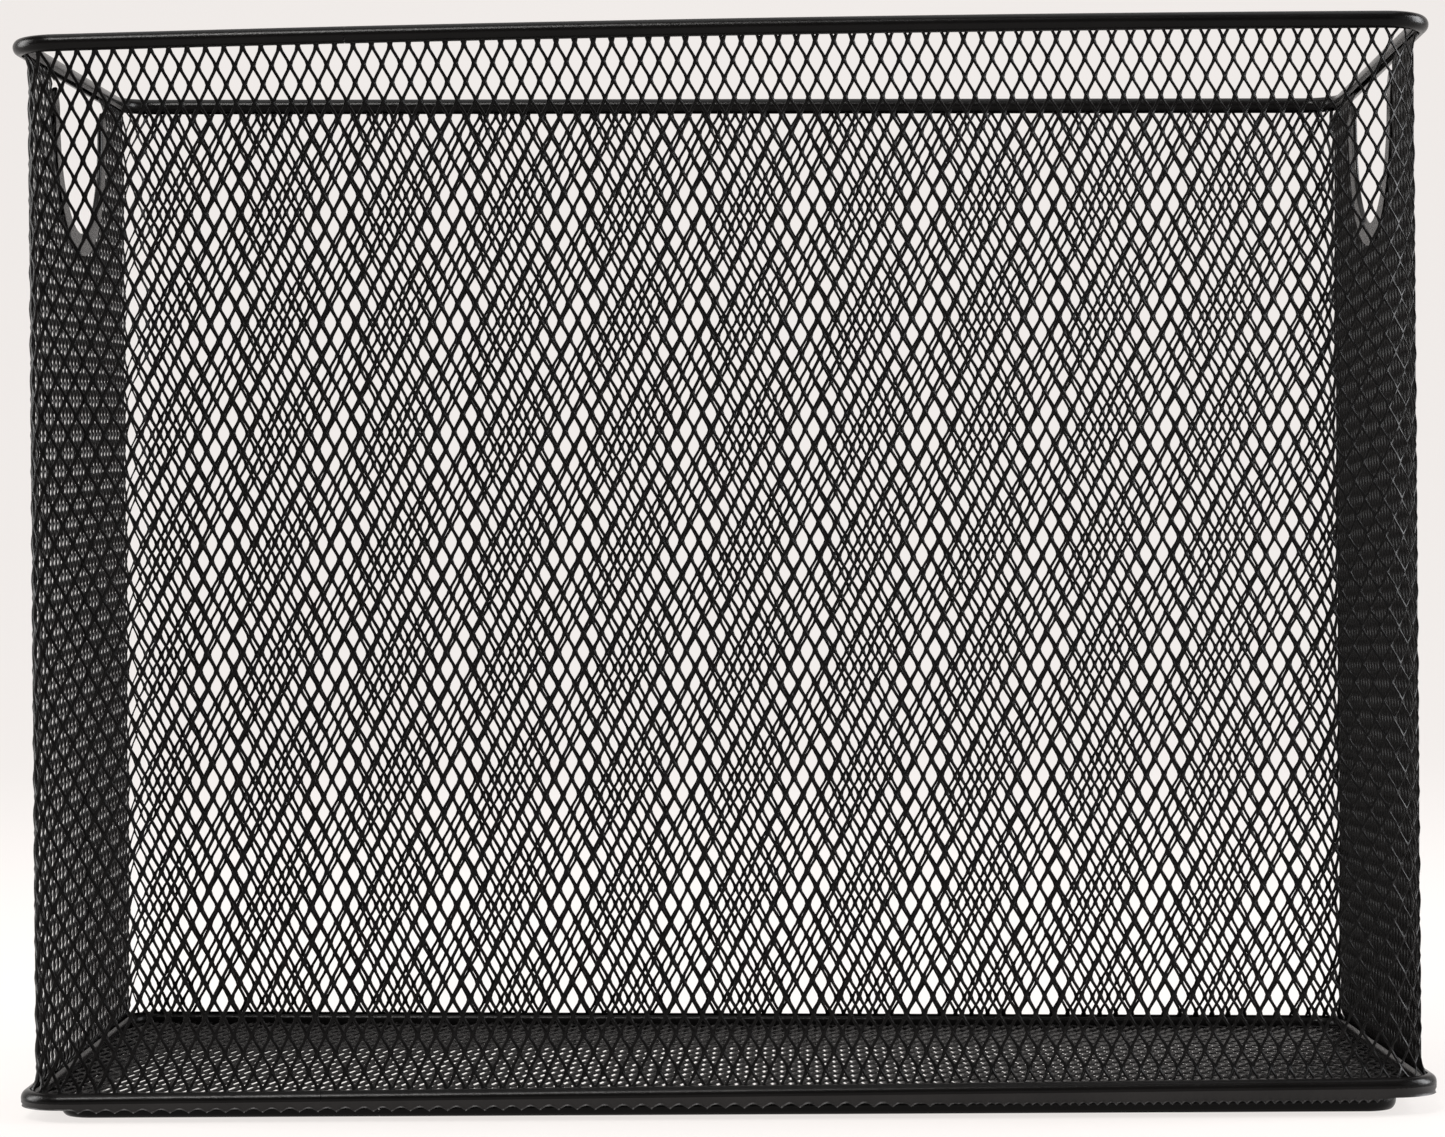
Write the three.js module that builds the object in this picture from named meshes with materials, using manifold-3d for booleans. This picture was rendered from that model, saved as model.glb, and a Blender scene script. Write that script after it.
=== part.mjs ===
// Magazine file holder: an open-top box of black expanded steel mesh.
// One mesh band makes the four walls, and its top and bottom edges are held in rolled steel rims. The
// mesh floor lies on the bottom rim's flange, over a smaller rolled ring that the box stands on. A
// folded steel strip lines the U-shaped handle cut-out in each narrow wall.
//
// Millimetres, +Z up. The origin is the centre of the footprint, on the surface that the box stands on.
// X runs along the length, Y along the depth, and the wide front wall is at -Y.
import * as THREE from "three";
import { mergeVertices } from "three/addons/utils/BufferGeometryUtils.js";
import Module from "manifold-3d";

const wasm = await Module();
wasm.setup();

// Driving dimensions
const LENGTH = 318; // over the rims, along X
const DEPTH = 134; // over the rims, along Y
const HEIGHT = 243; // from the surface to the top of the top rim
const RIM_DIAMETER = 3.8; // rolled rims and base ring
const STRIP = 0.5; // thickness of the rolled and folded steel strip
const MESH = 0.8; // thickness of the expanded mesh over its tilted strands
const CLEARANCE = 0.3; // between pieces that touch on the real object
const RIM_OVERHANG = 3.3; // from the outer face of the mesh wall to the outside of a rim
const WALL_CORNER_RADIUS = 7.5; // outer face of the mesh wall
const BOTTOM_RIM_TOP = 7.1; // height of the top of the bottom rim
const BASE_RING_INSET = 8.2; // from the outside of the rims to the outside of the base ring
const BASE_RING_RADIUS = 6; // corner radius of the base ring's centreline
const BASE_SOLE = 0.3; // how far the base ring's underside is pressed flat
const FLARE_DROP = 4.5; // height over which a mesh edge leans out into its rim

// Handle cut-outs, in the narrow walls
const HANDLE_RADIUS = 28; // the round lower half, to the middle of the strip
const HANDLE_CENTRE_Z = 229;
const SHOULDER_RADIUS = 5; // where the strip turns outwards under the rim
const SHOULDER_TURN = THREE.MathUtils.degToRad(55);
const TRIM_WIDTH = 5.4; // of the folded strip, in the plane of the wall
const TRIM_STRIP = 0.3; // its thickness
const TRIM_GAP = 0.15; // between it and each face of the mesh

// Places where the ends of each rolled strip, and of the mesh band, meet in the front
const TOP_JOINT_X = -83;
const BOTTOM_JOINT_X = -90;
const BASE_JOINT_X = -78;
const WALL_SEAM_X = -139;

// Steps round each kind of curve
const CORNER_STEPS = 5;
const ROLL_STEPS = 10;
const HANDLE_STEPS = 16;
const SHOULDER_STEPS = 4;
const FOLD_STEPS = 6;

// Worked out from the above
const RIM_RADIUS = RIM_DIAMETER / 2;
const RIM_HALF_X = LENGTH / 2 - RIM_RADIUS; // centreline of the rims
const RIM_HALF_Y = DEPTH / 2 - RIM_RADIUS;
const WALL_INSET = RIM_OVERHANG - RIM_RADIUS + MESH / 2; // rim centreline to the middle of the mesh
const RIM_CORNER_RADIUS = WALL_CORNER_RADIUS + RIM_OVERHANG - RIM_RADIUS;
const TOP_RIM_Z = HEIGHT - RIM_RADIUS;
const BOTTOM_RIM_Z = BOTTOM_RIM_TOP - RIM_RADIUS;
const BASE_HALF_X = LENGTH / 2 - BASE_RING_INSET - RIM_RADIUS; // centreline of the base ring
const BASE_HALF_Y = DEPTH / 2 - BASE_RING_INSET - RIM_RADIUS;
const BASE_RING_Z = RIM_RADIUS - BASE_SOLE;
const SLOT = MESH + 2 * CLEARANCE; // opening of a rolled strip, where a mesh edge goes in
const FLARE_ANGLE = Math.atan2(WALL_INSET, FLARE_DROP); // of a mesh edge, away from upright
const WALL_X = RIM_HALF_X - WALL_INSET; // middle of the mesh of a narrow wall

const black = (name, roughness) =>
  new THREE.MeshStandardMaterial({ name, color: 0x151516, roughness, metalness: 0.2 });
const meshBlack = black("mesh_black", 0.55);
const rimBlack = black("rim_black", 0.45);
const trimBlack = black("trim_black", 0.4);

// A path that ExtrudeGeometry follows point by point, so that a straight stretch takes one step.
class PointPath extends THREE.Curve {
  constructor(points) {
    super();
    this.points = points;
    this.steps = points.length - 1;
  }

  getPoint(t) {
    const place = t * this.steps;
    const i = Math.min(Math.floor(place), this.steps - 1);
    return this.points[i].clone().lerp(this.points[i + 1], place - i);
  }

  getUtoTmapping(u) {
    return u;
  }
}

// Points along a circle's arc, in the plane.
function arc(radius, from, to, steps) {
  return Array.from({ length: steps + 1 }, (_, i) => {
    const angle = from + ((to - from) * i) / steps;
    return new THREE.Vector2(radius * Math.cos(angle), radius * Math.sin(angle));
  });
}

// The path round a rectangle with rounded corners, anticlockwise seen from above. It starts and ends
// in the front stretch, with a narrow gap there, because the strip that follows it has two ends.
function ringPath(halfX, halfY, radius, z, jointX) {
  const point = (x, y) => new THREE.Vector3(x, y, z);
  const corners = [
    [1, -1],
    [1, 1],
    [-1, 1],
    [-1, -1],
  ];
  const rounded = corners.flatMap(([sideX, sideY], quarter) => {
    const start = ((quarter - 1) * Math.PI) / 2;
    const centre = new THREE.Vector2(sideX * (halfX - radius), sideY * (halfY - radius));
    return arc(radius, start, start + Math.PI / 2, CORNER_STEPS).map((p) =>
      point(centre.x + p.x, centre.y + p.y),
    );
  });
  return new PointPath([
    point(jointX + CLEARANCE / 2, -halfY),
    ...rounded,
    point(jointX - CLEARANCE / 2, -halfY),
  ]);
}

// Sections along a ring have x pointing down and y pointing inwards.
function sweep(section, path) {
  return new THREE.ExtrudeGeometry(section, {
    steps: path.steps,
    extrudePath: path,
    bevelEnabled: false,
  });
}

// The outline of a strip of even thickness along a line of points, with mitred turns.
function ribbon(line, thickness) {
  const normals = line.slice(1).map((p, i) => {
    const along = p.clone().sub(line[i]).normalize();
    return new THREE.Vector2(-along.y, along.x);
  });
  const sides = line.map((_, i) => {
    const before = normals[Math.max(i - 1, 0)];
    const after = normals[Math.min(i, normals.length - 1)];
    const miter = before.clone().add(after).normalize();
    return miter.multiplyScalar(thickness / 2 / miter.dot(after));
  });
  const left = line.map((p, i) => p.clone().add(sides[i]));
  const right = line.map((p, i) => p.clone().sub(sides[i]));
  return new THREE.Shape([...left, ...right.reverse()]);
}

// The angle that half of the slot takes, seen from the middle of a roll.
function halfSlotAngle(radius) {
  return Math.asin(SLOT / 2 / (radius - STRIP / 2));
}

// The middle of a strip rolled into a tube, with a slot along it where a mesh edge goes in.
function rolledLine(slotAngle) {
  const half = halfSlotAngle(RIM_RADIUS);
  return arc(RIM_RADIUS - STRIP / 2, slotAngle + half, slotAngle + 2 * Math.PI - half, ROLL_STEPS);
}

// The base ring's roll has its slot facing inwards, and a flat sole pressed into its underside.
function baseRingSection() {
  const sole = RIM_RADIUS - STRIP / 2 - BASE_SOLE;
  const line = rolledLine(Math.PI / 2).map((p) => new THREE.Vector2(Math.min(p.x, sole), p.y));
  return ribbon(line, STRIP);
}

// The bottom rim's strip: a roll with its slot facing the wall above, and a flange that runs from the
// underside of the roll to the base ring and ends in a lip hanging in front of that ring.
function bottomRimSection() {
  const half = halfSlotAngle(RIM_RADIUS);
  const slotAngle = Math.PI - FLARE_ANGLE;
  const inner = RIM_RADIUS - STRIP;
  const flangeTop = inner; // distance below the middle of the roll
  const lipInside = BASE_RING_INSET - RIM_RADIUS - CLEARANCE;
  const lipEnd = BOTTOM_RIM_Z - 0.65 * RIM_DIAMETER; // the lip covers the upper third of the base ring
  const flangeAngle = Math.acos(flangeTop / RIM_RADIUS);
  const flange = [
    new THREE.Vector2(flangeTop, lipInside),
    new THREE.Vector2(lipEnd, lipInside),
    new THREE.Vector2(lipEnd, lipInside - STRIP),
    new THREE.Vector2(RIM_RADIUS, lipInside - STRIP),
  ];
  const slotEnds = [slotAngle - half, slotAngle + half - 2 * Math.PI];
  return new THREE.Shape([
    ...arc(RIM_RADIUS, slotEnds[0], flangeAngle, ROLL_STEPS / 2),
    ...flange,
    ...arc(RIM_RADIUS, 0, slotEnds[1], ROLL_STEPS),
    ...arc(inner, slotEnds[1], slotEnds[0], ROLL_STEPS),
  ]);
}

// The wall's upright section: the mesh stands inside the rims and leans out into both of them.
function wallSection() {
  const inRoll = 0.5; // the mesh ends this far from the middle of each roll
  const point = (z, inwards) => new THREE.Vector2(-z, inwards);
  const leanOut = (rimZ, towards) => [
    point(rimZ + towards * inRoll * Math.cos(FLARE_ANGLE), inRoll * Math.sin(FLARE_ANGLE)),
    point(rimZ + towards * FLARE_DROP, WALL_INSET),
  ];
  const line = [...leanOut(BOTTOM_RIM_Z, 1), ...leanOut(TOP_RIM_Z, -1).reverse()];
  return ribbon(line, MESH);
}

// The middle of the strip round a handle cut-out, as points of (y, z): down the front side, round the
// bottom and up the rear side, turning outwards at both top ends.
function handleOutline() {
  const shoulderCentre = new THREE.Vector2(-HANDLE_RADIUS - SHOULDER_RADIUS, HANDLE_CENTRE_Z + 0.5);
  const shoulder = arc(SHOULDER_RADIUS, SHOULDER_TURN, 0, SHOULDER_STEPS).map((p) => p.add(shoulderCentre));
  const bottom = arc(HANDLE_RADIUS, Math.PI, 2 * Math.PI, HANDLE_STEPS).map(
    (p) => new THREE.Vector2(p.x, p.y + HANDLE_CENTRE_Z),
  );
  const otherShoulder = shoulder.map((p) => new THREE.Vector2(-p.x, p.y)).reverse();
  return [...shoulder, ...bottom, ...otherShoulder];
}

// A closed geometry as a manifold-3d solid.
function toSolid(geometry) {
  const bare = geometry.clone();
  bare.deleteAttribute("normal");
  bare.deleteAttribute("uv");
  const merged = mergeVertices(bare, 1e-4);
  return new wasm.Manifold(
    new wasm.Mesh({
      numProp: 3,
      vertProperties: merged.attributes.position.array,
      triVerts: new Uint32Array(merged.index.array),
    }),
  );
}

function toGeometry(solid) {
  const mesh = solid.getMesh();
  const geometry = new THREE.BufferGeometry();
  geometry.setAttribute("position", new THREE.BufferAttribute(mesh.vertProperties, 3));
  geometry.setIndex(new THREE.BufferAttribute(mesh.triVerts, 1));
  geometry.computeVertexNormals();
  return geometry;
}

// The space that a handle cut-out takes from the mesh, along X through both narrow walls. Beyond the
// ends of the strip it goes straight up, so that the rim crosses the opening alone.
function handleCutter() {
  const outline = handleOutline();
  const last = outline[outline.length - 1];
  const edge = last.x + 2 * CLEARANCE;
  const above = HEIGHT + RIM_DIAMETER;
  const shape = new THREE.Shape([
    ...outline,
    new THREE.Vector2(edge, last.y),
    new THREE.Vector2(edge, above),
    new THREE.Vector2(-edge, above),
    new THREE.Vector2(-edge, last.y),
  ]);
  const geometry = new THREE.ExtrudeGeometry(shape, { depth: LENGTH + RIM_DIAMETER, bevelEnabled: false });
  // The outline is drawn in x and y. This turns x to Y, y to Z and the depth to X.
  geometry.applyMatrix4(new THREE.Matrix4().set(0, 0, 1, 0, 1, 0, 0, 0, 0, 1, 0, 0, 0, 0, 0, 1));
  geometry.translate(-(LENGTH + RIM_DIAMETER) / 2, 0, 0);
  return geometry;
}

function meshWall() {
  const path = ringPath(RIM_HALF_X, RIM_HALF_Y, RIM_CORNER_RADIUS, 0, WALL_SEAM_X);
  const band = toSolid(sweep(wallSection(), path));
  return toGeometry(band.subtract(toSolid(handleCutter())));
}

// The floor lies on the bottom rim's flange and reaches to the inside of that rim's roll.
function meshFloor() {
  const edge = RIM_RADIUS + CLEARANCE; // from the rim's centreline to the floor's edge
  const halfX = RIM_HALF_X - edge;
  const halfY = RIM_HALF_Y - edge;
  const radius = RIM_CORNER_RADIUS - edge;
  const outline = ringPath(halfX, halfY, radius, 0, 0).points.slice(1, -1);
  const shape = new THREE.Shape(outline.map((p) => new THREE.Vector2(p.x, p.y)));
  const geometry = new THREE.ExtrudeGeometry(shape, { depth: MESH, bevelEnabled: false });
  geometry.translate(0, 0, BOTTOM_RIM_Z - RIM_RADIUS + STRIP + CLEARANCE);
  return geometry;
}

function topRim() {
  const path = ringPath(RIM_HALF_X, RIM_HALF_Y, RIM_CORNER_RADIUS, TOP_RIM_Z, TOP_JOINT_X);
  return sweep(ribbon(rolledLine(FLARE_ANGLE), STRIP), path);
}

function bottomRim() {
  const path = ringPath(RIM_HALF_X, RIM_HALF_Y, RIM_CORNER_RADIUS, BOTTOM_RIM_Z, BOTTOM_JOINT_X);
  return sweep(bottomRimSection(), path);
}

function baseRing() {
  const path = ringPath(BASE_HALF_X, BASE_HALF_Y, BASE_RING_RADIUS, BASE_RING_Z, BASE_JOINT_X);
  return sweep(baseRingSection(), path);
}

// A strip folded over the mesh edge, along the handle outline. Its section has x pointing to -X and y
// pointing into the opening: one side runs up to the fold, and the other comes back from it.
function handleTrim(x) {
  const foldRadius = MESH / 2 + TRIM_GAP + TRIM_STRIP / 2;
  const end = -TRIM_WIDTH / 2;
  const foldTop = TRIM_WIDTH / 2 - TRIM_STRIP / 2 - foldRadius;
  const line = [
    new THREE.Vector2(foldRadius, end),
    ...arc(foldRadius, 0, Math.PI, FOLD_STEPS).map((p) => new THREE.Vector2(p.x, p.y + foldTop)),
    new THREE.Vector2(-foldRadius, end),
  ];
  const path = new PointPath(handleOutline().map((p) => new THREE.Vector3(x, p.x, p.y)));
  return sweep(ribbon(line, TRIM_STRIP), path);
}

function named(name, geometry, material) {
  const mesh = new THREE.Mesh(geometry, material);
  mesh.name = name;
  return mesh;
}

const holder = new THREE.Group();
holder.add(
  named("mesh_wall", meshWall(), meshBlack),
  named("mesh_floor", meshFloor(), meshBlack),
  named("top_rim", topRim(), rimBlack),
  named("bottom_rim", bottomRim(), rimBlack),
  named("base_ring", baseRing(), rimBlack),
  named("left_handle_trim", handleTrim(-WALL_X), trimBlack),
  named("right_handle_trim", handleTrim(WALL_X), trimBlack),
);

export default holder;
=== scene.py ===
"""The looks of the magazine file holder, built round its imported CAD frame.

The object's lengths are in millimetres and turn into metres where a mesh is made. The stage, the
lights and the camera are in metres. The wide front wall is at -Y and +Z is up.
"""

import math

import bpy
import numpy as np
from mathutils import Matrix, Vector


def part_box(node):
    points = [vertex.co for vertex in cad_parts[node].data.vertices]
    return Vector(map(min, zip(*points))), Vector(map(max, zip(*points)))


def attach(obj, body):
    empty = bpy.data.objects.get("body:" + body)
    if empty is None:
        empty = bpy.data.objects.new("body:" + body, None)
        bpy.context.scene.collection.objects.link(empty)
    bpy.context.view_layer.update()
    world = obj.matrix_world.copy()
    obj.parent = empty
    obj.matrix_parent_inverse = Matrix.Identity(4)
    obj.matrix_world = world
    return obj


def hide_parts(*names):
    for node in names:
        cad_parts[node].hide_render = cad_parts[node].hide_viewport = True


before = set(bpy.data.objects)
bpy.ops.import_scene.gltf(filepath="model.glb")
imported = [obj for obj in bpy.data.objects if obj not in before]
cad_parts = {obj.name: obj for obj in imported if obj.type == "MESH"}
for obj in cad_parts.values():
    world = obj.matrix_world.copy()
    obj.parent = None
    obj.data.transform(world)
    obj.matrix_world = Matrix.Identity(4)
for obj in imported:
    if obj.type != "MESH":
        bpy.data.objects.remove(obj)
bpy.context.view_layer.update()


def box_mm(node):
    """The lowest and highest corner of a CAD node, in millimetres."""
    low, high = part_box(node)
    return np.array(low) * 1000, np.array(high) * 1000


# Sizes that come from the CAD frame
top_high = box_mm("top_rim")[1]
bottom_high = box_mm("bottom_rim")[1]
base_high = box_mm("base_ring")[1]
trim_low, trim_high = box_mm("right_handle_trim")
floor_low, floor_high = box_mm("mesh_floor")

RIM_RADIUS = 1.9
RIM_HALF_X = top_high[0] - RIM_RADIUS
RIM_HALF_Y = top_high[1] - RIM_RADIUS
TOP_RIM_Z = top_high[2] - RIM_RADIUS
BOTTOM_RIM_Z = bottom_high[2] - RIM_RADIUS
BASE_HALF_X = base_high[0] - RIM_RADIUS
BASE_HALF_Y = base_high[1] - RIM_RADIUS
BASE_RING_Z = base_high[2] - RIM_RADIUS
FLOOR_Z = (floor_low[2] + floor_high[2]) / 2
WALL_X = (trim_low[0] + trim_high[0]) / 2
WALL_INSET = RIM_HALF_X - WALL_X
WALL_Y = RIM_HALF_Y - WALL_INSET

RIM_CORNER_RADIUS = 8.9
BASE_CORNER_RADIUS = 6.0
STRIP = 0.5
RIM_SLOT = 1.1
FLARE_DROP = 4.5
FLANGE_START = 0.6
FLANGE_LAP = 0.95

# The lip's scallops: how far they rise, and where and over what length they turn fine
LIP_LIFT = 0.9
LIP_STRIP = 0.28
FINE_FROM = 30.0
FINE_OVER = 50.0
FINE_SHARE = 0.65

# Expanded mesh: the width and height of a diamond, and its strands
PITCH_U = 4.121
PITCH_V = 8.14
STRAND_THICKNESS = 0.44
STRAND_ROUNDING = 0.4
STRAND_TILT = -0.34
COLUMN_LEAN = -0.0385
ROW_FALL = 0.0081
SHEET_ORIGIN = (-0.67, 124.28)
# How far the sheet is drawn along and up where it is bent round the right wall
SHEET_DRAW = np.array([-2.56, 0.27])
LAP_START = -142.3
LAP_END = -136.0
LAP_RISE = 0.4
LAP_EASE = 8.0
MESH_TO_RIM_CENTRE = 0.5

# Handle cut-outs
HANDLE_RADIUS = 28.0
HANDLE_CENTRE_Z = 229.0
SHOULDER_RADIUS = 5.0
SHOULDER_TURN = math.radians(55)
SHOULDER_Y = HANDLE_RADIUS + SHOULDER_RADIUS
SHOULDER_Z = HANDLE_CENTRE_Z + 0.5
TRIM_WIDTH = 5.4
TRIM_THICKNESS = 1.3
TRIM_STRIP = 0.3

# How far the sprung box stands from square, and the height over which its foot gives way to that
FRONT_TWIST = 1.1
REAR_TWIST = 1.4
RISE = 0.5
STRETCH = 0.3
BOW = 1.0
FOOT = 5.0

# Edges sharper than this, in degrees, aren't smoothed
SHARP_EDGE = 40
ALL_SMOOTH = 180

# Butt joints of the rolled strips, and the steps round their corners and along their straights
TOP_JOINT_X = -83.0
BOTTOM_JOINT_X = -90.0
BASE_JOINT_X = -78.0
HALF_JOINT = 0.06
CORNER_STEPS = 14
LINE_STEP = 12


class RoundedPath:
    """The way round a rectangle with rounded corners, anticlockwise from above, from mid front."""

    def __init__(self, half_x, half_y, radius):
        straight_x = half_x - radius
        straight_y = half_y - radius
        corner = radius * math.pi / 2
        lengths = [straight_x, corner, 2 * straight_y, corner, 2 * straight_x]
        lengths += [corner, 2 * straight_y, corner, straight_x]
        turns = [0, 1, 0, 1, 0, 1, 0, 1, 0]
        self.starts = np.concatenate([[0], np.cumsum(lengths)[:-1]])
        self.length = sum(lengths)
        self.turns = np.array(turns)
        self.headings = np.concatenate([[0], np.cumsum(turns)[:-1]]) * math.pi / 2
        self.radius = radius
        points = [np.array([0.0, -half_y])]
        for length, turn, heading in zip(lengths, turns, self.headings):
            points.append(points[-1] + self.advance(length, turn, heading))
        self.points = np.array(points[:-1])

    def advance(self, distance, turn, heading):
        """How far the path has moved after a distance along one of its lines or corners."""
        if not turn:
            return distance * np.array([math.cos(heading), math.sin(heading)])
        end = heading + distance / self.radius
        swing = [math.sin(end) - math.sin(heading), math.cos(heading) - math.cos(end)]
        return self.radius * np.array(swing)

    def place(self, along, out):
        """X and Y of points at a distance along the path and a distance out from it."""
        along = np.mod(along, self.length)
        part = np.searchsorted(self.starts, along, side="right") - 1
        distance = along - self.starts[part]
        turn = self.turns[part]
        start = self.headings[part]
        heading = start + turn * distance / self.radius
        line_x = distance * np.cos(start)
        line_y = distance * np.sin(start)
        arc_x = self.radius * (np.sin(heading) - np.sin(start))
        arc_y = self.radius * (np.cos(start) - np.cos(heading))
        x = self.points[part, 0] + np.where(turn, arc_x, line_x) + out * np.sin(heading)
        y = self.points[part, 1] + np.where(turn, arc_y, line_y) - out * np.cos(heading)
        return x, y

    def stations(self, first, last, corner_steps, line_step):
        """Distances along the path from first to last, closer together in the corners."""
        marks = [first, last]
        for lap in (-1, 0, 1):
            for start, turn, end in zip(self.starts, self.turns, [*self.starts[1:], self.length]):
                steps = corner_steps if turn else max(1, round((end - start) / line_step))
                marks += list(lap * self.length + np.linspace(start, end, steps + 1))
        marks = np.unique(np.round(marks, 6))
        return marks[(marks >= first) & (marks <= last)]


WALL_PATH = RoundedPath(WALL_X, WALL_Y, RIM_CORNER_RADIUS - WALL_INSET)
RIM_PATH = RoundedPath(RIM_HALF_X, RIM_HALF_Y, RIM_CORNER_RADIUS)
BASE_PATH = RoundedPath(BASE_HALF_X, BASE_HALF_Y, BASE_CORNER_RADIUS)


# Materials


def powder_coat(name, shade, specular, roughness, grain):
    """Satin black powder coat: a fine orange-peel grain, with slight changes of shade and gloss."""
    material = bpy.data.materials.new(name)
    material.use_nodes = True
    nodes = material.node_tree.nodes
    links = material.node_tree.links
    shader = nodes["Principled BSDF"]
    shader.inputs["Specular IOR Level"].default_value = specular
    shader.inputs["IOR"].default_value = 1.5

    place = nodes.new("ShaderNodeTexCoord")
    fine = nodes.new("ShaderNodeTexNoise")
    fine.inputs["Scale"].default_value = 1 / grain
    fine.inputs["Detail"].default_value = 3
    fine.inputs["Roughness"].default_value = 0.6
    broad = nodes.new("ShaderNodeTexNoise")
    broad.inputs["Scale"].default_value = 60
    broad.inputs["Detail"].default_value = 4
    for texture in (fine, broad):
        links.new(place.outputs["Object"], texture.inputs["Vector"])

    shades = nodes.new("ShaderNodeValToRGB")
    shades.color_ramp.elements[0].position = 0.3
    shades.color_ramp.elements[1].position = 0.7
    for element, gain in zip(shades.color_ramp.elements, (0.8, 1.25)):
        element.color = (shade * gain * 1.1, shade * gain, shade * gain * 0.98, 1)
    links.new(broad.outputs["Fac"], shades.inputs["Fac"])
    links.new(shades.outputs["Color"], shader.inputs["Base Color"])

    gloss = nodes.new("ShaderNodeMapRange")
    gloss.inputs["From Min"].default_value = 0.3
    gloss.inputs["From Max"].default_value = 0.7
    gloss.inputs["To Min"].default_value = roughness - 0.06
    gloss.inputs["To Max"].default_value = roughness + 0.06
    links.new(fine.outputs["Fac"], gloss.inputs["Value"])
    links.new(gloss.outputs["Result"], shader.inputs["Roughness"])

    bump = nodes.new("ShaderNodeBump")
    bump.inputs["Strength"].default_value = 0.5
    bump.inputs["Distance"].default_value = grain * 0.25
    links.new(fine.outputs["Fac"], bump.inputs["Height"])
    links.new(bump.outputs["Normal"], shader.inputs["Normal"])
    return material


mesh_black = powder_coat("mesh_black", 0.003, 0.08, 0.24, 0.0002)
rim_black = powder_coat("rim_black", 0.0032, 0.1, 0.22, 0.0003)
# The lip's coat is the rims' black powder coat painted several times lighter: a painted reflection of the
# pale floor on the skirt's downward face.
lip_black_painted_reflection = powder_coat("lip_black_painted_reflection", 0.011, 0.22, 0.42, 0.0003)
trim_black = powder_coat("trim_black", 0.0036, 0.14, 0.24, 0.0003)


def settle(points):
    """Points moved as the sprung box really stands: its front and rear racked a little against each other.

    The top rim also stands a little high, and its front bows up in the middle. The foot stays flat.
    """
    x, y, z = points.T
    above_foot = np.clip(z / FOOT, 0, 1)
    height = np.clip(z / top_high[2], 0, 1)
    depth = np.clip(0.5 + y / (2 * RIM_HALF_Y), 0, 1)
    twist = x / RIM_HALF_X * (FRONT_TWIST * (1 - depth) - REAR_TWIST * depth)
    bow = BOW * (1 - np.clip(x / RIM_HALF_X, -1, 1) ** 2) * (1 - depth)
    return np.column_stack([x, y, z + above_foot * (RISE + twist) + height**4 * (STRETCH + bow)])


def add_piece(name, vertices, faces, material, sharp_degrees, node):
    """A mesh of the object, from points in millimetres, that rides on the body and takes a node's place."""
    mesh = bpy.data.meshes.new(name)
    mesh.from_pydata(settle(vertices) * 0.001, [], faces)
    mesh.materials.append(material)
    mesh.shade_smooth()
    mesh.set_sharp_from_angle(angle=math.radians(sharp_degrees))
    piece = bpy.data.objects.new(name, mesh)
    bpy.context.scene.collection.objects.link(piece)
    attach(piece, "root")
    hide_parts(node)
    return piece


# Expanded mesh


def diamond_template():
    """One diamond of expanded mesh, as points in half pitches with a height, and faces.

    Each ring has 8 points: the middles of the strands round the opening, through its 4 knuckles; the
    edge of the strands' outer face; their sides, the furthest into the opening; the edge of their
    inner face; and the middles again on the inner face. The rings inside the middles are tilted.
    """
    middles = np.array([(1, 0), (0.5, 0.5), (0, 1), (-0.5, 0.5), (-1, 0), (-0.5, -0.5), (0, -1), (0.5, -0.5)])
    sides = np.array([(0.745, 0), (0.61, 0.23), (0, 0.77), (-0.61, 0.23)])
    sides = np.vstack([sides, -sides])
    edges = sides + STRAND_ROUNDING * (middles - sides)
    half = STRAND_THICKNESS / 2

    def ring(flat, height):
        inside = np.abs(flat).sum(axis=1) < 0.95
        return np.column_stack([flat, height - STRAND_TILT * flat[:, 0] * inside])

    layers = [(middles, half), (edges, half), (sides, 0), (edges, -half), (middles, -half)]
    points = [ring(flat, height) for flat, height in layers]
    faces = []
    for outer in range(0, 32, 8):
        for i in range(8):
            j = (i + 1) % 8
            faces.append([outer + i, outer + j, outer + 8 + j, outer + 8 + i])
    return np.vstack(points), np.array(faces)


def diamond_sheet(u_range, v_range, origin, lean, fall, draw, keep_face):
    """Expanded mesh laid flat, as points of (u, v, height) and faces. v runs along the long diagonals.

    draw moves the sheet's points before they are cut to the range and by keep_face.
    """
    template, template_faces = diamond_template()
    half_u = PITCH_U / 2
    half_v = PITCH_V / 2

    def to_sheet(column, row):
        along = origin[0] + column * half_u + row * half_v * lean
        return along, origin[1] + row * half_v - fall * along

    rows = np.arange(
        math.floor((v_range[0] - origin[1]) / half_v) - 2,
        math.ceil((v_range[1] + fall * u_range[1] - origin[1]) / half_v) + 3,
    )
    slack = abs(lean) * (v_range[1] - v_range[0]) + 2 * PITCH_U
    columns = np.arange(
        math.floor((u_range[0] - slack - origin[0]) / half_u),
        math.ceil((u_range[1] + slack - origin[0]) / half_u),
    )
    column, row = [grid.ravel() for grid in np.meshgrid(columns, rows)]
    whole = (column + row) % 2 == 0
    column, row = column[whole], row[whole]
    centre_u = to_sheet(column, row)[0]
    inside = (centre_u >= u_range[0]) & (centre_u < u_range[1])
    column, row = column[inside], row[inside]

    u, v = to_sheet(column[:, None] + template[None, :, 0], row[:, None] + template[None, :, 1])
    u, v = draw(u, v)
    height = np.broadcast_to(template[None, :, 2], u.shape)
    points = np.stack([u, v, height], axis=-1).reshape(-1, 3)
    offsets = np.arange(len(column)) * len(template)
    faces = (template_faces[None] + offsets[:, None, None]).reshape(-1, 4)

    centres = points[faces].mean(axis=1)
    kept = (centres[:, 1] >= v_range[0]) & (centres[:, 1] <= v_range[1])
    kept &= keep_face(centres[:, 0], centres[:, 1])
    faces = faces[kept]
    used, faces = np.unique(faces, return_inverse=True)
    points = points[used]
    _, first, merged = np.unique(np.round(points * 1000), axis=0, return_index=True, return_inverse=True)
    return points[first], merged.ravel()[faces.ravel()].reshape(-1, 4)


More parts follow.
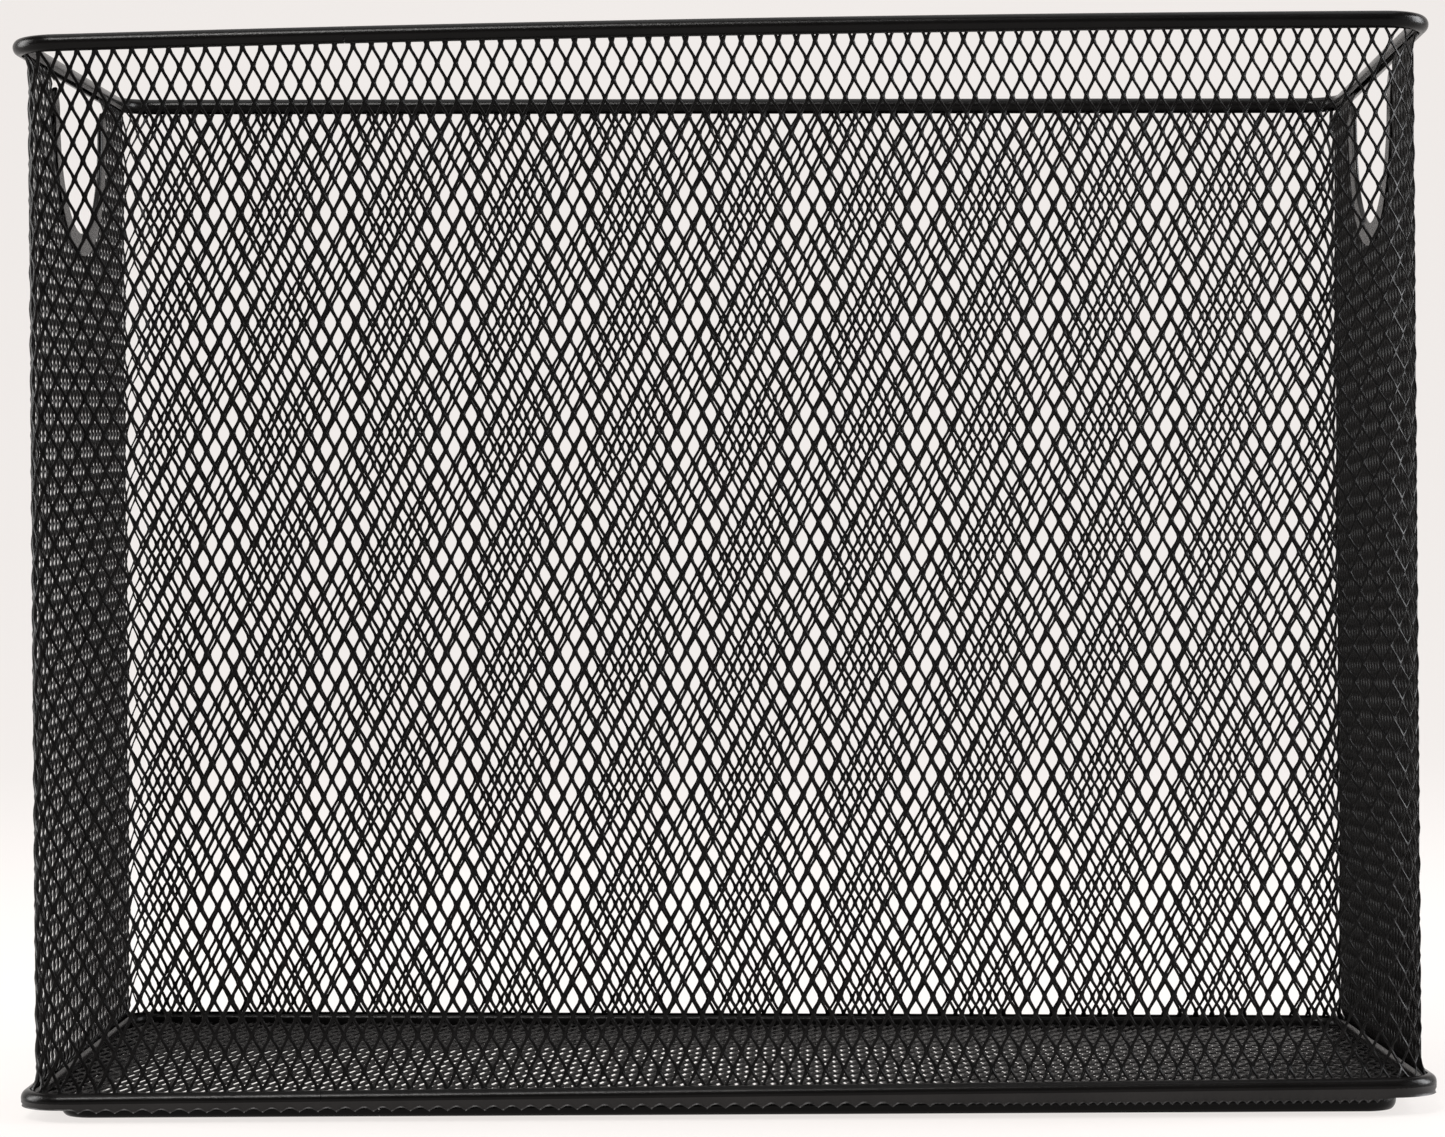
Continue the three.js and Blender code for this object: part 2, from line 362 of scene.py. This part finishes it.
def lean_out(v):
    """How far the wall's mesh has moved out from its upright middle at a height, to enter the rims."""
    nearest = np.minimum(TOP_RIM_Z - v, v - BOTTOM_RIM_Z)
    share = np.clip(1 - nearest / FLARE_DROP, 0, 1)
    return WALL_INSET * share**2 * (3 - 2 * share)


def lap_out(u):
    """How far the band's two ends move apart where they overlap: the first outwards, the last inwards."""
    first = np.clip((LAP_END + LAP_EASE - u) / LAP_EASE, 0, 1)
    last = np.clip((u - (WALL_PATH.length + LAP_START - LAP_EASE)) / LAP_EASE, 0, 1)
    return LAP_RISE * (first - last)


def on_wall(points):
    """Points of the flat band, bent round the four walls."""
    u, v, height = points.T
    x, y = WALL_PATH.place(u, height + lean_out(v) + lap_out(u))
    return np.column_stack([x, y, v])


def handle_outline(steps):
    """The middle of the strip round a handle cut-out, as points of (y, z)."""
    centre = np.array([-SHOULDER_Y, SHOULDER_Z])
    turn = np.linspace(SHOULDER_TURN, 0, steps // 3)
    shoulder = centre + SHOULDER_RADIUS * np.column_stack([np.cos(turn), np.sin(turn)])
    turn = np.linspace(math.pi, 2 * math.pi, 2 * steps)
    bottom = HANDLE_RADIUS * np.column_stack([np.cos(turn), np.sin(turn)]) + [0, HANDLE_CENTRE_Z]
    other = shoulder[::-1] * [-1, 1]
    return np.vstack([shoulder, bottom, other])


RIGHT_MIDDLE = WALL_PATH.starts[2] + WALL_Y - WALL_PATH.radius
LEFT_MIDDLE = WALL_PATH.starts[6] + WALL_Y - WALL_PATH.radius


def sheet_step(columns, rows):
    """How far apart two openings of the band are that lie some half pitches apart."""
    along = columns * PITCH_U / 2 + rows * PITCH_V / 2 * COLUMN_LEAN
    return np.array([along, rows * PITCH_V / 2 - ROW_FALL * along])


def closing_draw():
    """How far the sheet is drawn round the left wall, to bring its end in step with its start."""
    needed = np.array([WALL_PATH.length, 0]) - SHEET_DRAW
    columns = round(WALL_PATH.length / PITCH_U * 2)
    steps = [
        sheet_step(column, row)
        for column in range(columns - 4, columns + 5)
        for row in range(-4, 5)
        if (column + row) % 2 == 0
    ]
    return min((needed - step for step in steps), key=np.linalg.norm)


CLOSING_DRAW = closing_draw()


def draw_round(u, v):
    """The band's points after it is drawn round the right and left walls."""
    starts = WALL_PATH.starts
    for start, end, draw in [(starts[2], starts[3], SHEET_DRAW), (starts[6], starts[7], CLOSING_DRAW)]:
        share = np.clip((u - start) / (end - start), 0, 1)
        share = share**2 * (3 - 2 * share)
        u, v = u + draw[0] * share, v + draw[1] * share
    return u, v


def clear_of_handles(u, v):
    """True where the band isn't cut away for a handle."""
    top_y = SHOULDER_Y - SHOULDER_RADIUS * math.cos(SHOULDER_TURN)
    top_z = SHOULDER_Z + SHOULDER_RADIUS * math.sin(SHOULDER_TURN)
    cleared = np.zeros(len(u), bool)
    for middle in (LEFT_MIDDLE, RIGHT_MIDDLE):
        across = np.abs(u - middle)
        floor_z = HANDLE_CENTRE_Z - np.sqrt(np.clip(HANDLE_RADIUS**2 - across**2, 0, None))
        round_part = (across < HANDLE_RADIUS) & (v > floor_z)
        upper_part = (across < top_y) & (v > top_z)
        off = np.hypot(across - SHOULDER_Y, v - SHOULDER_Z)
        shoulder_part = (v > SHOULDER_Z) & (across < top_y) & (off > SHOULDER_RADIUS)
        cleared |= round_part | upper_part | shoulder_part
    return ~cleared


def build_wall():
    """The mesh band, in pieces that meet without a gap, with a lap seam near the front left."""
    starts = WALL_PATH.starts
    last = WALL_PATH.length + LAP_END
    ends = [LAP_START - PITCH_U, 0, starts[2], starts[3], WALL_PATH.length / 2, starts[6], last + PITCH_U]
    sides = ["front_left", "front_right", "right", "rear_right", "rear_left", "left"]

    def keep_face(u, v):
        return clear_of_handles(u, v) & (u > LAP_START) & (u < last)

    for side, start, end in zip(sides, ends, ends[1:]):
        height = (BOTTOM_RIM_Z + MESH_TO_RIM_CENTRE, TOP_RIM_Z - MESH_TO_RIM_CENTRE)
        points, faces = diamond_sheet(
            (start, end), height, SHEET_ORIGIN, COLUMN_LEAN, ROW_FALL, draw_round, keep_face
        )
        add_piece(f"wall_{side}", on_wall(points), faces, mesh_black, ALL_SMOOTH, "mesh_wall")


def build_floor():
    """The mesh floor, with the long diagonals of its diamonds along the depth."""
    half_x, half_y = floor_high[:2]
    radius = RIM_CORNER_RADIUS - (RIM_HALF_X - half_x)

    def on_floor(x, y):
        corner_x = np.clip(np.abs(x) - (half_x - radius), 0, None)
        corner_y = np.clip(np.abs(y) - (half_y - radius), 0, None)
        return np.hypot(corner_x, corner_y) < radius

    def as_made(u, v):
        return u, v

    width = (-half_x - PITCH_U, half_x + PITCH_U)
    depth = (-half_y, half_y)
    points, faces = diamond_sheet(width, depth, (0.0, 0.0), 0.0, 0.0, as_made, on_floor)
    points = points + [0, 0, FLOOR_Z]
    add_piece("floor_mesh", points, faces, mesh_black, ALL_SMOOTH, "mesh_floor")


# Rims, rolled from strip


def circle_points(radius, start, end, steps):
    """Points along an arc, as (out, up)."""
    angle = np.linspace(start, end, steps + 1)
    return radius * np.column_stack([np.cos(angle), np.sin(angle)])


def rolled_section(slot_angle):
    """A strip rolled into a tube with a slot in it, as an outline of (out, up)."""
    inner_radius = RIM_RADIUS - STRIP
    half = math.asin(RIM_SLOT / 2 / (RIM_RADIUS - STRIP / 2))
    start, end = slot_angle + half, slot_angle + 2 * math.pi - half
    return np.vstack([
        circle_points(RIM_RADIUS, start, end, 28),
        circle_points(inner_radius, end, start, 14),
    ])


def sweep(section, place, stations):
    """A closed section carried along stations, with its two ends capped, as points and faces.

    place gives the X, Y and Z of the section's points at a station.
    """
    rings = np.array([place(station, section) for station in stations])
    count = len(section)
    faces = []
    for ring in range(len(stations) - 1):
        for i in range(count):
            j = (i + 1) % count
            base = ring * count
            faces.append([base + i, base + j, base + count + j, base + count + i])
    last = (len(stations) - 1) * count
    faces.append(list(range(count))[::-1])
    faces.append([last + i for i in range(count)])
    return rings.reshape(-1, 3), faces


def on_path(path, centre_z):
    """A place function for sweep, round a path at one height."""

    def place(station, section):
        x, y = path.place(np.full(len(section), station), section[:, 0])
        return np.column_stack([x, y, centre_z + section[:, 1]])

    return place


def rolled_ring(path, centre_z, slot_angle, joint_x):
    """A rolled strip all the way round a path, with a fine butt joint in its front stretch."""
    first = joint_x + HALF_JOINT
    last = path.length + joint_x - HALF_JOINT
    stations = path.stations(first, last, CORNER_STEPS, LINE_STEP)
    return sweep(rolled_section(slot_angle), on_path(path, centre_z), stations)


FLARE_ANGLE = math.atan2(WALL_INSET, FLARE_DROP)


def build_top_rim():
    down_and_in = math.atan2(-math.cos(FLARE_ANGLE), -math.sin(FLARE_ANGLE))
    points, faces = rolled_ring(RIM_PATH, TOP_RIM_Z, down_and_in, TOP_JOINT_X)
    add_piece("rolled_top_rim", points, faces, rim_black, SHARP_EDGE, "top_rim")


def build_bottom_rim():
    up_and_in = math.atan2(math.cos(FLARE_ANGLE), -math.sin(FLARE_ANGLE))
    points, faces = rolled_ring(RIM_PATH, BOTTOM_RIM_Z, up_and_in, BOTTOM_JOINT_X)
    add_piece("rolled_bottom_rim", points, faces, rim_black, SHARP_EDGE, "bottom_rim")


def build_base_ring():
    inwards = math.pi
    points, faces = rolled_ring(BASE_PATH, BASE_RING_Z, inwards, BASE_JOINT_X)
    points[:, 2] = np.maximum(points[:, 2], 0)
    add_piece("rolled_base_ring", points, faces, rim_black, SHARP_EDGE, "base_ring")


def build_flange():
    """The floor side of the bottom rim's strip: in from under the roll to the base ring."""
    bottom = -RIM_RADIUS
    top = bottom + STRIP
    start, end = -FLANGE_START, BASE_HALF_X + FLANGE_LAP - RIM_HALF_X
    section = np.array([(start, top), (end, top), (end, bottom), (start, bottom)])
    stations = RIM_PATH.stations(0, RIM_PATH.length, CORNER_STEPS, LINE_STEP)
    points, faces = sweep(section, on_path(RIM_PATH, BOTTOM_RIM_Z), stations)
    add_piece("base_flange", points, faces, rim_black, SHARP_EDGE, "bottom_rim")


def scallop(station, pitch):
    """How far the lip's edge is raised: wide arches, fine ones to the front right, level corners."""
    beyond = station if station < RIM_PATH.length / 2 else station - RIM_PATH.length
    fine = min(max((beyond - FINE_FROM) / FINE_OVER, 0), 1)
    wide_arch = LIP_LIFT * abs(math.sin(math.pi * station / pitch))
    fine_arch = FINE_SHARE * LIP_LIFT * abs(math.sin(2 * math.pi * station / pitch))
    arch = (1 - fine) * wide_arch + fine * fine_arch
    x, y = RIM_PATH.place(np.array([station]), 0)
    straight_x, straight_y = RIM_HALF_X - RIM_CORNER_RADIUS, RIM_HALF_Y - RIM_CORNER_RADIUS
    from_corner = max(straight_x - abs(x[0]), straight_y - abs(y[0]))
    level = min(max(1 - from_corner / pitch, 0), 1)
    return arch + (LIP_LIFT - arch) * level


def build_crimped_lip():
    """The bottom rim's outer skirt, folded down over the roll to a scalloped edge that turns out."""
    skirt = np.array([(1.86, -0.3), (1.84, -1.0), (1.62, -1.8), (1.54, -2.5), (1.72, -2.8)])
    section = np.vstack([skirt, (skirt - [LIP_STRIP, 0])[::-1]])
    steps = 16
    count = round(RIM_PATH.length / PITCH_U)
    pitch = RIM_PATH.length / count

    def place(station, outline):
        shaped = outline.copy()
        lift = scallop(station, pitch)
        shaped[3:7, 1] += lift
        shaped[[2, 7], 1] += lift / 2
        return on_path(RIM_PATH, BOTTOM_RIM_Z)(station, shaped)

    stations = np.arange(steps * count + 1) * pitch / steps
    points, faces = sweep(section, place, stations)
    add_piece("crimped_lip", points, faces, lip_black_painted_reflection, SHARP_EDGE, "bottom_rim")


# Handle trims


def trim_section():
    """A strip folded over the mesh edge, as an outline of (across the wall, into the opening)."""
    radius = TRIM_THICKNESS / 2
    end = -TRIM_WIDTH / 2
    fold = TRIM_WIDTH / 2 - radius
    inner = radius - TRIM_STRIP
    outer_arc = circle_points(radius, 0, math.pi, 10) + [0, fold]
    inner_arc = circle_points(inner, math.pi, 0, 6) + [0, fold]
    outside = [[(radius, end)], outer_arc, [(-radius, end)]]
    inside = [[(-inner, end)], inner_arc, [(inner, end)]]
    return np.vstack(outside + inside)


def build_trim(name, node, wall_x):
    outline = handle_outline(18)
    ahead = np.gradient(outline, axis=0)
    ahead /= np.linalg.norm(ahead, axis=1)[:, None]
    into = np.column_stack([-ahead[:, 1], ahead[:, 0]])

    def place(station, section):
        middle = outline[station]
        flat = middle + section[:, 1:2] * into[station]
        return np.column_stack([wall_x + section[:, 0], flat])

    points, faces = sweep(trim_section(), place, range(len(outline)))
    add_piece(name, points, faces, trim_black, SHARP_EDGE, node)


build_wall()
build_floor()
build_top_rim()
build_bottom_rim()
build_base_ring()
build_flange()
build_crimped_lip()
build_trim("left_trim", "left_handle_trim", -WALL_X)
build_trim("right_trim", "right_handle_trim", WALL_X)


# Stage, lights and camera


def stage_material():
    """A pale paper sweep that glows a little, as if lit from all round."""
    material = bpy.data.materials.new("pale_sweep")
    material.use_nodes = True
    shader = material.node_tree.nodes["Principled BSDF"]
    shader.inputs["Base Color"].default_value = (0.1, 0.097, 0.094, 1)
    shader.inputs["Roughness"].default_value = 0.9
    shader.inputs["Emission Color"].default_value = (0.77, 0.735, 0.715, 1)
    shader.inputs["Emission Strength"].default_value = 1
    return material


def build_stage():
    """A floor that curves up into a backdrop, in one sheet."""
    front, bend, radius, top, half = -2.5, 1.2, 0.8, 3.0, 3.5
    profile = [(front, 0.0)]
    for angle in np.linspace(0, math.pi / 2, 25):
        profile.append((bend + radius * math.sin(angle), radius * (1 - math.cos(angle))))
    profile.append((bend + radius, top))
    vertices = [(side * half, y, z) for y, z in profile for side in (-1, 1)]
    faces = [(2 * i, 2 * i + 1, 2 * i + 3, 2 * i + 2) for i in range(len(profile) - 1)]
    mesh = bpy.data.meshes.new("sweep")
    mesh.from_pydata(vertices, [], faces)
    mesh.materials.append(stage_material())
    mesh.shade_smooth()
    sweep_object = bpy.data.objects.new("sweep", mesh)
    bpy.context.scene.collection.objects.link(sweep_object)


def add_softbox(name, location, target, size, power, colour):
    light = bpy.data.lights.new(name, "AREA")
    light.shape = "RECTANGLE"
    light.size, light.size_y = size
    light.energy = power
    light.color = colour
    box = bpy.data.objects.new(name, light)
    box.location = location
    box.rotation_euler = (Vector(target) - Vector(location)).to_track_quat("-Z", "Y").to_euler()
    bpy.context.scene.collection.objects.link(box)


def build_lights():
    add_softbox("key", (-0.4, -1.05, 1.3), (-0.05, 0, 0.15), (0.6, 0.35), 26, (1, 0.98, 0.96))
    add_softbox("fill", (1.2, -1.0, 0.6), (0, 0, 0.12), (0.9, 0.9), 2, (0.96, 0.98, 1))
    add_softbox("top", (0.0, 0.1, 1.4), (0, 0, 0.1), (1.2, 1.2), 8, (1, 1, 1))
    add_softbox("left", (-1.1, 0.0, 0.45), (0, 0, 0.12), (0.5, 0.8), 20, (1, 0.99, 0.98))
    add_softbox("right", (1.1, 0.0, 0.45), (0, 0, 0.12), (0.5, 0.8), 28, (0.97, 0.98, 1))
    world = bpy.data.worlds.new("studio")
    world.use_nodes = True
    world.node_tree.nodes["Background"].inputs["Color"].default_value = (0.5, 0.5, 0.5, 1)
    world.node_tree.nodes["Background"].inputs["Strength"].default_value = 0.06
    bpy.context.scene.world = world


def build_camera():
    camera = bpy.data.cameras.new("camera")
    camera.sensor_width = 36
    camera.lens = 89.94
    camera.clip_start, camera.clip_end = 0.01, 20
    holder = bpy.data.objects.new("camera", camera)
    yaw = Matrix.Rotation(math.radians(1.07), 4, "Z")
    level = Matrix.Rotation(math.radians(90), 4, "X")
    roll = Matrix.Rotation(math.radians(-0.45), 4, "Z")
    holder.matrix_world = Matrix.Translation((0.0152, -0.8675, 0.1225)) @ yaw @ level @ roll
    bpy.context.scene.collection.objects.link(holder)
    bpy.context.scene.camera = holder


build_stage()
build_lights()
build_camera()
bpy.context.scene.view_settings.view_transform = "Standard"
